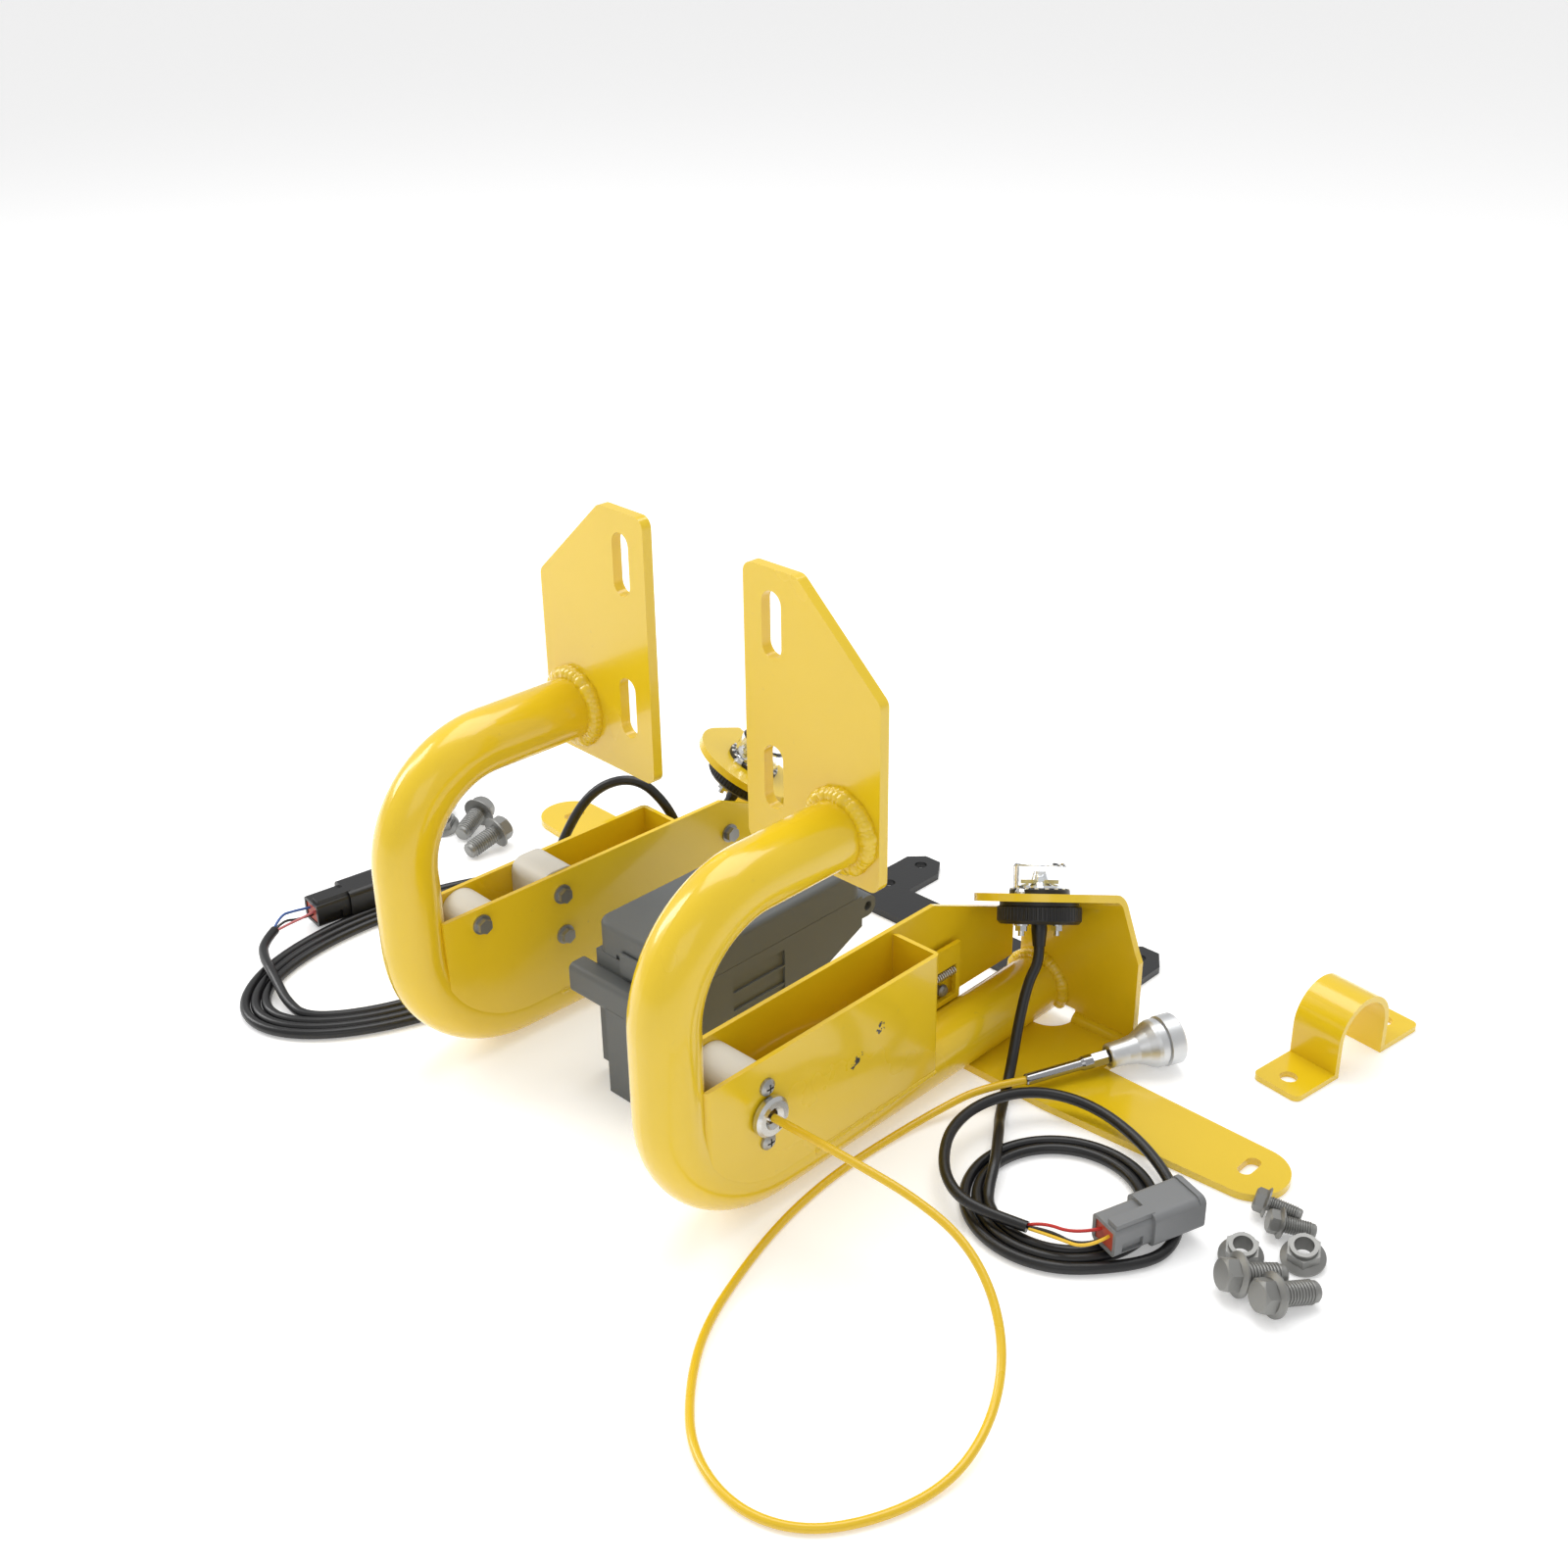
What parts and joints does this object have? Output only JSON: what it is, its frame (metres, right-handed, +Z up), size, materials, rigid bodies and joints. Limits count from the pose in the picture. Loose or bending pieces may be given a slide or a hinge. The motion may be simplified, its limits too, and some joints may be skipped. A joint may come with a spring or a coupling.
{
  "type": "operator guard kit",
  "caption": "Trip-cable operator guard kit for a lift console: mirrored hook arms with beacons, a magnetic-ended cable, coiled leads with plugs, control box, clamp, frame, fasteners.",
  "frame": {"origin": "bottom centre of the kit's solid pieces, on the surface it lies on", "axes": "+Z up; +Y from the hooks' upright fronts towards their beacons; +X from the left arm to the right arm"},
  "size_m": [0.8143, 0.5931, 0.353],
  "materials": {
    "yellow_powder": "semi-gloss powder coat",
    "white_nylon": "machined nylon",
    "zinc_steel": "dull zinc plate",
    "black_plastic": "fine matt",
    "clear_lens": "clear moulded",
    "reflector": "bright",
    "black_rubber": "satin jacket",
    "orange_silicone": "soft seal",
    "orange_plastic": "moulded lock",
    "wire_insulation": "thin insulation",
    "black_steel": "satin black coat",
    "grey_plastic": "fine texture",
    "yellow_jacket": "smooth jacket",
    "turned_aluminium": "turned",
    "dark_magnet": "ground face"
  },
  "bodies": {
    "kit": {"black_frame": "black_steel", "box_base": "grey_plastic", "box_hinge_pin": "zinc_steel", "cable_guide": "zinc_steel", "cable_sleeve": "zinc_steel", "guide_screws": "zinc_steel", "left_beacon_base": "black_plastic", "left_beacon_bezel": "black_plastic", "left_beacon_bracket": "yellow_powder", "left_beacon_lens": "clear_lens", "left_beacon_reflector": "reflector", "left_beacon_screws": "zinc_steel", "left_channel_cover": "yellow_powder", "left_connector_body": "black_plastic", "left_connector_seal": "orange_silicone", "left_connector_wedge": "orange_plastic", "left_connector_wires": "wire_insulation", "left_front_block": "white_nylon", "left_hook_tube": "yellow_powder", "left_lead": "black_rubber", "left_lead_boot": "black_rubber", "left_lead_coil": "black_rubber", "left_mount_plate": "yellow_powder", "left_rear_block": "white_nylon", "left_side_plate": "yellow_powder", "left_side_screws": "zinc_steel", "lock_nuts": "zinc_steel", "mount_bolts": "zinc_steel", "pull_wire": "zinc_steel", "right_beacon_base": "black_plastic", "right_beacon_bezel": "black_plastic", "right_beacon_bracket": "yellow_powder", "right_beacon_lens": "clear_lens", "right_beacon_reflector": "reflector", "right_beacon_screws": "zinc_steel", "right_channel_cover": "yellow_powder", "right_connector_body": "grey_plastic", "right_connector_seal": "orange_silicone", "right_connector_wedge": "orange_plastic", "right_connector_wires": "wire_insulation", "right_front_block": "white_nylon", "right_hook_tube": "yellow_powder", "right_lead": "black_rubber", "right_lead_boot": "black_rubber", "right_lead_coil": "black_rubber", "right_mount_plate": "yellow_powder", "right_side_plate": "yellow_powder", "right_side_screws": "zinc_steel", "saddle_clamp": "yellow_powder", "slider_screw": "zinc_steel", "small_screws": "zinc_steel", "swivel_stud": "zinc_steel", "trip_cable": "yellow_jacket"},
    "slider": {"pull_slider": "yellow_powder", "return_spring": "zinc_steel"},
    "lid": {"box_lid": "grey_plastic", "box_latch": "grey_plastic"},
    "magnet_end": {"magnet_cone": "turned_aluminium", "magnet_cup": "turned_aluminium", "magnet_disc": "dark_magnet"}
  },
  "joints": [
    {"name": "pull_slide", "type": "slide", "parent": "kit", "child": "slider", "axis": [0, -1, 0], "range_m": [0, 0.006], "stiffness_N_per_m": 300, "springref_m": -0.01},
    {"name": "box_lid_hinge", "type": "hinge", "parent": "kit", "child": "lid", "pos_m": [0.0004, 0.018, 0.081], "axis": [-1, 0, 0], "range_deg": [0, 100]},
    {"name": "magnet_spin", "type": "hinge", "parent": "kit", "child": "magnet_end", "pos_m": [0.1999, 0.0652, 0.01556], "axis": [0.4174, 0.9078, 0.041], "continuous": true}
  ]
}
